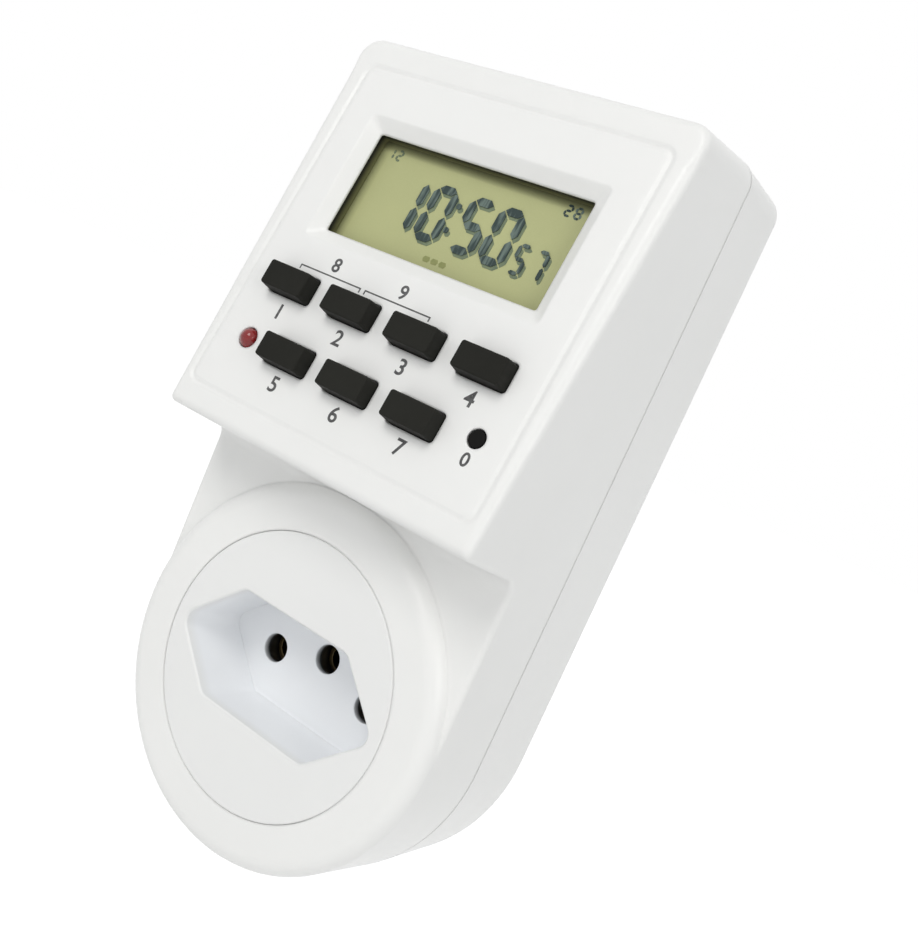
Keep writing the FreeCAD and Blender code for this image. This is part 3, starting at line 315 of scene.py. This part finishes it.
def board_lacquer():
    """Green solder lacquer with lighter raised lines of tracks below it."""
    material, tree, shader = new_material("board_green")
    bricks = node(tree, "ShaderNodeTexBrick")
    set_inputs(bricks, Scale=160.0, Mortar_Size=0.03)
    tree.links.new(object_point(tree), bricks.inputs["Vector"])
    tracks = bricks.outputs["Fac"]
    weave = noise(tree, scale=2200.0, detail=3.0)
    base = two_tone(tree, weave, ((0.030, 0.170, 0.065), (0.045, 0.220, 0.085)), low=0.3)
    shown = remap(tree, tracks, low=0.0, high=1.0, out_low=0.0, out_high=0.5)
    base = mixed(tree, shown, base, (0.10, 0.30, 0.13))
    relief = bump(tree, tracks, depth=3e-5, strength=0.5)
    join_shader(tree, shader, base, weave, smooth=0.25, rough=0.4, relief=relief)
    return material


def ribbon_grey():
    """Grey flat cable with a rib for each conductor, with painted shade in the grooves between the ribs."""
    material, tree, shader = new_material("ribbon_grey")
    ribs = bands(tree, "X", scale=250.0)
    # Painted shade: darker in the grooves between the ribs
    base = mixed(tree, ribs, (0.40, 0.40, 0.41), (0.52, 0.52, 0.53))
    relief = bump(tree, ribs, depth=0.0002, strength=0.6)
    join_shader(tree, shader, base, noise(tree, scale=900.0), smooth=0.45, rough=0.6, relief=relief)
    return material


def resistor_tan():
    """Tan lacquer with plain colour rings across the body."""
    material, tree, shader = new_material("resistor_tan")
    lacquer = two_tone(tree, noise(tree, scale=900.0), ((0.60, 0.46, 0.28), (0.68, 0.54, 0.35)), low=0.3)
    rings = bands(tree, "Z", scale=180.0)
    base = two_tone(tree, rings, (lacquer, (0.22, 0.06, 0.03)), low=0.75, high=0.85)
    join_shader(tree, shader, base, noise(tree, scale=700.0), smooth=0.3, rough=0.45)
    return material


# Painted light, shade and reflection that change with the place: direction, start and end along it in
# metres, and the tone at the end
TO_WALL = (0.0, 1.0, 0.0)
RECESS_MOUTH, RECESS_FLOOR = -0.0423, -0.0303
GLASS_AT = (PANEL_FOOT.dot(PANEL_OUT) - GLASS_DROP) * MM
# Painted light: the insert's recess is a little lighter and bluer than its face
RECESS_PAINTED_LIGHT = (TO_WALL, RECESS_MOUTH + 0.0001, RECESS_MOUTH + 0.0024, (0.916, 0.930, 0.950))
# Painted shade: the walls of the insert's holes turn dark behind the recess floor
HOLE_PAINTED_SHADE = (TO_WALL, RECESS_FLOOR, RECESS_FLOOR + 0.0012, (0.025, 0.025, 0.028))
# Painted reflection: the window's black wall turns olive next to the glass, as a reflection of the glass
WINDOW_PAINTED_REFLECTION = (PANEL_OUT, GLASS_AT + 0.0013, GLASS_AT + 0.0002, (0.170, 0.170, 0.080))

# Moulded plastics: two tones, roughness, depth of the grain in metres, and what else sets one apart
PLASTICS = {
    "case_white": dict(tones=((0.880, 0.880, 0.868), (0.862, 0.862, 0.850)), roughness=0.34, grain=8e-6,
                       worn=(0.91, 0.91, 0.90), edge=0.0006),
    # The insert: painted light in its recess and painted shade in the walls of its holes
    "socket_white": dict(tones=((0.850, 0.852, 0.845), (0.832, 0.834, 0.828)), roughness=0.36, grain=8e-6,
                         worn=(0.89, 0.89, 0.88), painted_shading=(RECESS_PAINTED_LIGHT, HOLE_PAINTED_SHADE)),
    "plug_white": dict(tones=((0.850, 0.850, 0.838), (0.830, 0.830, 0.818)), roughness=0.38, grain=1e-5,
                       worn=(0.88, 0.88, 0.87)),
    "key_black": dict(tones=((0.0170, 0.0170, 0.0145), (0.0210, 0.0210, 0.0180)), roughness=0.60,
                      grain=1.2e-5, worn=(0.040, 0.040, 0.036), specular=0.07),
    "reset_black": dict(tones=((0.008, 0.008, 0.008), (0.011, 0.011, 0.010)), roughness=0.60, grain=8e-6,
                        worn=(0.02, 0.02, 0.02), specular=0.06),
    # The window's black wall gets a painted reflection of the glass
    "frame_plastic": dict(tones=((0.010, 0.010, 0.009), (0.016, 0.016, 0.014)), roughness=0.50, grain=1e-5,
                          specular=0.2, painted_shading=(WINDOW_PAINTED_REFLECTION,)),
    "component_black": dict(tones=((0.026, 0.026, 0.026), (0.036, 0.036, 0.036)), roughness=0.45,
                            grain=1.2e-5),
    "component_yellow": dict(tones=((0.78, 0.57, 0.08), (0.70, 0.50, 0.06)), roughness=0.38, grain=1.2e-5),
    "component_blue": dict(tones=((0.055, 0.150, 0.440), (0.045, 0.120, 0.360)), roughness=0.30,
                           grain=1.5e-5),
    "wire_black": dict(tones=((0.026, 0.026, 0.026), (0.036, 0.036, 0.036)), roughness=0.42, grain=1e-5),
    "wire_blue": dict(tones=((0.038, 0.110, 0.430), (0.050, 0.140, 0.480)), roughness=0.42, grain=1e-5),
}
# Metals: two tones, roughness, and the axis along which the streaks are drawn out
ALONG_Y = (1.0, 0.05, 1.0)
ALONG_Z = (1.0, 1.0, 0.05)
METALS = {
    "pin_metal": dict(tones=((0.78, 0.75, 0.67), (0.70, 0.66, 0.57)), roughness=0.20, stretch=ALONG_Y),
    # The contacts are darker than bare brass: painted shade of the deep holes they sit in
    "contact_brass": dict(tones=((0.26, 0.19, 0.09), (0.18, 0.13, 0.06)), roughness=0.34, stretch=ALONG_Y),
    "screw_steel": dict(tones=((0.62, 0.62, 0.60), (0.52, 0.52, 0.50)), roughness=0.28, stretch=ALONG_Z),
    "battery_steel": dict(tones=((0.70, 0.70, 0.68), (0.62, 0.62, 0.60)), roughness=0.24, stretch=ALONG_Z),
    "can_aluminium": dict(tones=((0.72, 0.72, 0.74), (0.62, 0.62, 0.64)), roughness=0.30, stretch=ALONG_Y),
}
# Inks: two tones, the texture and the range of its values between them, roughness and specular level
CLOUDY = dict(texture=dict(scale=900.0, detail=3.0), low=0.35, high=0.7, smooth=0.5, rough=0.6, specular=0.1)
INKS = {
    "display_segments": dict(tones=((0.036, 0.056, 0.054), (0.140, 0.185, 0.165)),
                             texture=dict(scale=1700.0, stretch=(1.0, 0.15, 0.15)), low=0.44, high=0.62,
                             smooth=0.45, rough=0.6, specular=0.2),
    # Painted shadow that the figures throw on the layer behind them, also the tone of the faint left mark
    "display_shade": dict(tones=((0.150, 0.190, 0.130), (0.215, 0.255, 0.160)), **CLOUDY),
    "display_faint": dict(tones=((0.270, 0.290, 0.120), (0.310, 0.325, 0.140)), **CLOUDY),
    "panel_ink": dict(tones=((0.050, 0.050, 0.052), (0.115, 0.115, 0.115)),
                      texture=dict(scale=1500.0, detail=3.0), low=0.35, high=0.7,
                      smooth=0.5, rough=0.65, specular=0.5),
}
MATERIALS = {
    "silicone_grey": rubber("silicone_grey", ((0.52, 0.52, 0.51), (0.60, 0.60, 0.59))),
    "strip_rubber": rubber("strip_rubber", ((0.10, 0.10, 0.11), (0.14, 0.14, 0.15)), layers=900.0),
    "display_glass": display_olive(),
    "lamp_red": lamp_red(),
    "board_green": board_lacquer(),
    "ribbon_grey": ribbon_grey(),
    "resistor_tan": resistor_tan(),
}
for make, looks in ((moulded, PLASTICS), (metal, METALS), (ink, INKS)):
    for look_name, look in looks.items():
        MATERIALS[look_name] = make(look_name, **look)


def dress_nodes():
    """Gives every CAD node the material of its slot."""
    for row in frame["record"]["subparts"]:
        mesh = frame["nodes"][row["node"]].data
        mesh.materials.clear()
        mesh.materials.append(MATERIALS[row["material_slot"]])


# Helpers for added pieces

def add_object(name, data):
    made = bpy.data.objects.new(name, data)
    bpy.context.scene.collection.objects.link(made)
    return made


def add_piece(name, mesh, material):
    """Adds a piece that rides on the case."""
    mesh.materials.clear()
    mesh.materials.append(MATERIALS[material])
    piece = add_object(name, mesh)
    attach(piece, "case")
    return piece


def on_panel(u, v, n):
    """Place in the frame, in metres, of a point given in the panel's millimetres."""
    return (PANEL_FOOT + Vector((u, 0, 0)) + v * PANEL_UP + n * PANEL_OUT) * MM


def join_loops(work, first, second):
    """Band of faces between two loops with equal numbers of points."""
    for i in range(len(first)):
        j = (i + 1) % len(first)
        work.faces.new([first[i], first[j], second[j], second[i]])


def fill_mesh(mesh, work):
    """Turns the faces outward and writes them into the mesh."""
    bmesh.ops.recalc_face_normals(work, faces=work.faces)
    work.to_mesh(mesh)
    work.free()


def curve_mesh(name, curve, u, v, middle):
    """Mesh of a raised flat curve that is laid on the panel with its origin at u, v and middle."""
    carrier = bpy.data.objects.new(name + "_carrier", curve)
    mesh = bpy.data.meshes.new_from_object(carrier)
    bpy.data.objects.remove(carrier)
    bpy.data.curves.remove(curve)
    for vertex in mesh.vertices:
        x, y, z = vertex.co
        vertex.co = on_panel(u + x, v + y, middle + z)
    mesh.name = name
    return mesh


def flat_piece(name, outlines, low, high, material):
    """Thin raised piece on the panel from closed outlines of (u, v) points."""
    work = bmesh.new()
    for outline in outlines:
        foot, top = [[work.verts.new(on_panel(u, v, n)) for u, v in outline] for n in (low, high)]
        work.faces.new(top)
        work.faces.new(list(reversed(foot)))
        join_loops(work, foot, top)
    mesh = bpy.data.meshes.new(name)
    fill_mesh(mesh, work)
    add_piece(name, mesh, material)


def ring(u, v, radius, steps):
    turns = [i * 2 * math.pi / steps for i in range(steps)]
    return [(u + radius * math.cos(turn), v + radius * math.sin(turn)) for turn in turns]


def bar(start, end, width, taper):
    """Six-cornered segment between two points."""
    first, last = Vector(start), Vector(end)
    heading = (last - first).normalized()
    side = Vector((-heading.y, heading.x)) * width / 2
    nose = heading * taper
    corners = [first, first + nose - side, last - nose - side, last, last - nose + side, first + nose + side]
    return [(corner.x, corner.y) for corner in corners]


# Seven-segment figures: which of the segments a to g are on, and how much of a bar's width its point takes
FIGURES = {"0": "abcdef", "1": "bc", "2": "abged", "5": "afgcd", "7": "abc", "8": "abcdefg"}
NOSE_SHARE = 0.55

# Figures on the display, each with its left edge in the panel's millimetres
LARGE = (("1", -11.55), ("0", -6.45), ("5", -0.15), ("0", 4.80))
SMALL = (("5", 10.10), ("7", 13.05))
LEFT_MARK = (("1", -17.0), ("2", -15.5))
RIGHT_MARK = (("2", 13.4), ("8", 14.9))
# Foot, width, height, bar width and gap between the bars of each row of figures
LARGE_SIZE = (35.20, 4.35, 8.55, 1.20, 0.12)
SMALL_SIZE = (35.20, 2.05, 4.50, 0.55, 0.07)
LEFT_MARK_SIZE = (44.8, 1.1, 1.8, 0.34, 0.03)
RIGHT_MARK_SIZE = (44.9, 1.2, 1.8, 0.34, 0.03)
COLON_U, COLON_LOW, COLON_HIGH, COLON_HALF, COLON_CORNERS = -1.45, 37.80, 41.49, 0.45, 8
LOW_MARK_LEFTS = (-2.6, -1.2, 0.2)
LOW_MARK_V, LOW_MARK_LENGTH, LOW_MARK_WIDTH, LOW_MARK_NOSE = 33.1, 1.2, 0.8, 0.2
# The painted shadow's shift from its figure, and the heights of the thin layers on the glass, counted from
# the panel
SHADE_SHIFT = (0.42, -0.42)
SHADE_TOP, FIGURE_FOOT, FIGURE_TOP = 0.04 - GLASS_DROP, 0.10 - GLASS_DROP, 0.16 - GLASS_DROP


def figure_bars(figure, u, v, width, height, thick, gap):
    """Outlines of one seven-segment figure whose lower left corner is (u, v)."""
    left, right = u + thick / 2, u + width - thick / 2
    low, middle, high = v + thick / 2, v + height / 2, v + height - thick / 2
    spots = {
        "a": ((left, high), (right, high)),
        "b": ((right, high), (right, middle)),
        "c": ((right, middle), (right, low)),
        "d": ((left, low), (right, low)),
        "e": ((left, middle), (left, low)),
        "f": ((left, high), (left, middle)),
        "g": ((left, middle), (right, middle)),
    }
    outlines = []
    for name in FIGURES[figure]:
        start, end = Vector(spots[name][0]), Vector(spots[name][1])
        heading = (end - start).normalized()
        outlines.append(bar(start + heading * gap, end - heading * gap, thick, thick * NOSE_SHARE))
    return outlines


def figure_row(figures, size, right=0.0, up=0.0):
    """Outlines of a row of figures, moved to the right and up."""
    foot, width, height, thick, gap = size
    outlines = []
    for figure, left in figures:
        outlines += figure_bars(figure, left + right, foot + up, width, height, thick, gap)
    return outlines


def time_outlines(right, up):
    """Outlines of the large and small figures and the colon, moved to the right and up."""
    outlines = figure_row(LARGE, LARGE_SIZE, right, up) + figure_row(SMALL, SMALL_SIZE, right, up)
    for v in (COLON_LOW, COLON_HIGH):
        centre = Vector((COLON_U + right, v + up))
        outlines.append(ring(centre.x, centre.y, COLON_HALF, COLON_CORNERS))
    return outlines


def display_figures():
    """Everything that the display shows, with a painted shadow of its figures, in two thin layers on its
    glass.
    """
    flat_piece("display_segments", time_outlines(0.0, 0.0), FIGURE_FOOT, FIGURE_TOP,
               "display_segments")
    low_marks = []
    for left in LOW_MARK_LEFTS:
        ends = (left, LOW_MARK_V), (left + LOW_MARK_LENGTH, LOW_MARK_V)
        low_marks.append(bar(*ends, LOW_MARK_WIDTH, LOW_MARK_NOSE))
    for name, outlines, material in (
        # Painted shadow of the time figures
        ("display_shade", time_outlines(*SHADE_SHIFT), "display_shade"),
        ("display_mark_left", figure_row(LEFT_MARK, LEFT_MARK_SIZE), "display_shade"),
        ("display_mark_right", figure_row(RIGHT_MARK, RIGHT_MARK_SIZE), "display_segments"),
        ("display_mark_low", low_marks, "display_faint"),
    ):
        flat_piece(name, outlines, -GLASS_DROP, SHADE_TOP, material)


# Print on the panel: brackets over the upper keys, and plain numbers at keys, brackets and reset button
PRINT_LOW, PRINT_HIGH = -0.01, 0.02
BRACKETS = ((-17.6, -6.5), (-5.6, 5.7))
BRACKET_LOW, BRACKET_HIGH, BRACKET_LINE, BRACKET_NOSE = 24.5, 25.1, 0.2, 0.0001
NUMBER_DROP, RESET_NUMBER_DROP = 4.35, 3.0
BRACKET_NUMBERS = (("8", -12.0), ("9", 0.1))
BRACKET_NUMBER_V = 26.7
KEY_NUMBER, BRACKET_NUMBER, RESET_NUMBER = 2.2, 2.0, 1.8
# Built-in letter shapes: a figure's height at size 1, the widening of its strokes, and points per curve
LETTER_SHARE = 0.7
LETTER_SWELL = 0.05
LETTER_STEPS = 4


def text_piece(name, words, u, v, height):
    """Plain figures printed on the panel, from the built-in letter shapes turned into a mesh."""
    curve = bpy.data.curves.new(name + "_curve", "FONT")
    curve.body = words
    curve.size = height / LETTER_SHARE
    curve.align_x = "CENTER"
    curve.align_y = "CENTER"
    curve.resolution_u = LETTER_STEPS
    curve.offset = LETTER_SWELL
    curve.extrude = (PRINT_HIGH - PRINT_LOW) / 2
    mesh = curve_mesh(name, curve, u, v, (PRINT_HIGH + PRINT_LOW) / 2)
    add_piece(name, mesh, "panel_ink")


def panel_print():
    outlines = []
    for left, right in BRACKETS:
        reach = BRACKET_LINE / 2
        for start, end in (
            ((left, BRACKET_LOW), (left, BRACKET_HIGH)),
            ((left - reach, BRACKET_HIGH), (right + reach, BRACKET_HIGH)),
            ((right, BRACKET_HIGH), (right, BRACKET_LOW)),
        ):
            outlines.append(bar(start, end, BRACKET_LINE, BRACKET_NOSE))
    flat_piece("panel_brackets", outlines, PRINT_LOW, PRINT_HIGH, "panel_ink")
    for number, (u, v) in enumerate(KEY_PLACES, 1):
        text_piece("key_number_" + str(number), str(number), u, v - NUMBER_DROP, KEY_NUMBER)
    for words, u in BRACKET_NUMBERS:
        text_piece("bracket_number_" + words, words, u, BRACKET_NUMBER_V, BRACKET_NUMBER)
    text_piece("reset_number_0", "0", RESET_U, RESET_V - RESET_NUMBER_DROP, RESET_NUMBER)


# Silicone mat behind the panel: a sheet with a dome under each button
MAT_LOW, MAT_TOP, DOME_TOP = -8.0, -7.0, -5.6
MAT_HALF_WIDTH, MAT_FOOT, MAT_HEAD, MAT_ROUND = 23.2, 8.4, 26.2, 1.0
DOME_FOOT, DOME_CROWN, DOME_WALL = 2.6, 1.6, 0.6
DOME_HOLE, STATUS_LAMP_HOLE = 1.45, 2.9
ROUND_STEPS, CORNER_STEPS = 48, 6
WELD = 0.01


def mat_outline():
    """Rectangle with rounded corners."""
    points = []
    corners = ((1, MAT_HEAD, 0), (-1, MAT_HEAD, 1), (-1, MAT_FOOT, 2), (1, MAT_FOOT, 3))
    for side, edge, quarter in corners:
        u = side * (MAT_HALF_WIDTH - MAT_ROUND)
        v = edge - MAT_ROUND if edge == MAT_HEAD else edge + MAT_ROUND
        for step in range(CORNER_STEPS + 1):
            turn = (quarter + step / CORNER_STEPS) * math.pi / 2
            points.append((u + MAT_ROUND * math.cos(turn), v + MAT_ROUND * math.sin(turn)))
    return points


def soft_piece(name, mesh):
    """Piece of the mat that stands for its CAD node."""
    piece = add_piece(name, mesh, "silicone_grey")
    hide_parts("key_mat")
    return piece


def mat_sheet(places):
    """Flat sheet with a round hole under each dome and one for the status lamp."""
    curve = bpy.data.curves.new("mat_curve", "CURVE")
    curve.dimensions = "2D"
    curve.fill_mode = "BOTH"
    curve.extrude = (MAT_TOP - MAT_LOW) / 2
    holes = [ring(u, v, DOME_HOLE, ROUND_STEPS) for u, v in places]
    holes += [ring(STATUS_LAMP_U, LOW_ROW, STATUS_LAMP_HOLE, ROUND_STEPS)]
    for outline in [mat_outline()] + holes:
        spline = curve.splines.new("POLY")
        spline.points.add(len(outline) - 1)
        for point, (u, v) in zip(spline.points, outline):
            point.co = (u, v, 0.0, 1.0)
        spline.use_cyclic_u = True
    mesh = curve_mesh("mat_sheet", curve, 0.0, 0.0, (MAT_TOP + MAT_LOW) / 2)
    work = bmesh.new()
    work.from_mesh(mesh)
    bmesh.ops.remove_doubles(work, verts=work.verts, dist=WELD * MM)
    fill_mesh(mesh, work)
    soft_piece("mat_sheet", mesh)


def mat_dome(name, u, v):
    """Hollow cone under a button."""
    sizes = ((DOME_HOLE, MAT_TOP), (DOME_FOOT, MAT_TOP), (DOME_CROWN, DOME_TOP),
             (DOME_CROWN - DOME_WALL, DOME_TOP - DOME_WALL))
    work = bmesh.new()
    hole, foot, crown, roof = [
        [work.verts.new(on_panel(*spot, n)) for spot in ring(u, v, radius, ROUND_STEPS)]
        for radius, n in sizes
    ]
    for first, second in ((hole, foot), (foot, crown), (roof, hole)):
        join_loops(work, first, second)
    work.faces.new(crown)
    work.faces.new(roof)
    mesh = bpy.data.meshes.new(name)
    fill_mesh(mesh, work)
    piece = soft_piece(name, mesh)
    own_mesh(piece)


def key_mat():
    mat_sheet(KEY_PLACES + [(RESET_U, RESET_V)])
    for number, (u, v) in enumerate(KEY_PLACES, 1):
        mat_dome("mat_dome_" + str(number), u, v)
    mat_dome("mat_dome_reset", RESET_U, RESET_V)


# Camera, floor, world and lamps

def make_camera():
    data = bpy.data.cameras.new("camera")
    data.sensor_fit = "AUTO"
    data.sensor_width = CAMERA_SENSOR
    data.lens = CAMERA_LENS
    data.shift_x, data.shift_y = CAMERA_SHIFT
    data.clip_start, data.clip_end = CAMERA_NEAR, CAMERA_FAR
    camera = add_object("camera", data)
    camera.location = CAMERA_PLACE
    camera.rotation_euler = [math.radians(angle) for angle in CAMERA_TURN]
    bpy.context.scene.camera = camera


def seen_directly(tree):
    """1 for camera, glossy and transmission rays, 0 for the rest."""
    path = node(tree, "ShaderNodeLightPath")
    value = path.outputs["Is Camera Ray"]
    for name in ("Is Glossy Ray", "Is Transmission Ray"):
        top = node(tree, "ShaderNodeMath", operation="MAXIMUM")
        tree.links.new(value, top.inputs[0])
        tree.links.new(path.outputs[name], top.inputs[1])
        value = top.outputs[0]
    return value


def mix_shaders(tree, factor, first, second, surface):
    """Joins a mix of two shaders to a surface."""
    mix = node(tree, "ShaderNodeMixShader")
    for socket, source in enumerate((factor, first.outputs[0], second.outputs[0])):
        tree.links.new(source, mix.inputs[socket])
    tree.links.new(mix.outputs[0], surface)


def make_floor():
    """Pale floor that keeps the object's shadow and looks white around it."""
    mesh = bpy.data.meshes.new("floor")
    reach = FLOOR_HALF
    corners = [(-reach, -reach, 0), (reach, -reach, 0), (reach, reach, 0), (-reach, reach, 0)]
    mesh.from_pydata(corners, [], [(0, 1, 2, 3)])
    floor = add_object("floor", mesh)
    floor.location.z = FLOOR_Z
    material, tree, shader = new_material("floor")
    set_inputs(shader, Base_Color=FLOOR_GREY, Roughness=0.9, Specular_IOR_Level=0.0)
    glow = node(tree, "ShaderNodeEmission")
    set_inputs(glow, Color=WHITE, Strength=FLOOR_GLOW)
    share = node(tree, "ShaderNodeMath", operation="MULTIPLY")
    share.inputs[1].default_value = FLOOR_GLOW_SHARE
    tree.links.new(seen_directly(tree), share.inputs[0])
    mix_shaders(tree, share.outputs[0], shader, glow, tree.nodes["Material Output"].inputs["Surface"])
    mesh.materials.append(material)


def make_world():
    """Soft light all round, which the camera and reflections see as white."""
    world = bpy.data.worlds.new("studio")
    bpy.context.scene.world = world
    world.use_nodes = True
    tree = world.node_tree
    soft = tree.nodes["Background"]
    set_inputs(soft, Color=WORLD_TINT, Strength=WORLD_LEVEL)
    seen = node(tree, "ShaderNodeBackground")
    set_inputs(seen, Color=WHITE, Strength=1.0)
    mix_shaders(tree, seen_directly(tree), soft, seen, tree.nodes["World Output"].inputs["Surface"])


def make_lamps():
    for name, (place, power) in LAMPS.items():
        data = bpy.data.lights.new(name, "AREA")
        data.shape = "DISK"
        data.size = LAMP_SIZE
        data.energy = power
        data.color = LAMP_TINT
        lamp = add_object(name, data)
        lamp.location = place
        lamp.rotation_euler = (LAMP_TARGET - Vector(place)).to_track_quat("-Z", "Y").to_euler()
        # Its reflection would turn the head's top edge fully white
        lamp.visible_glossy = name != "back_lamp"


dress_nodes()
display_figures()
panel_print()
key_mat()
make_camera()
make_floor()
make_world()
make_lamps()
bpy.context.scene.view_settings.view_transform = "Standard"
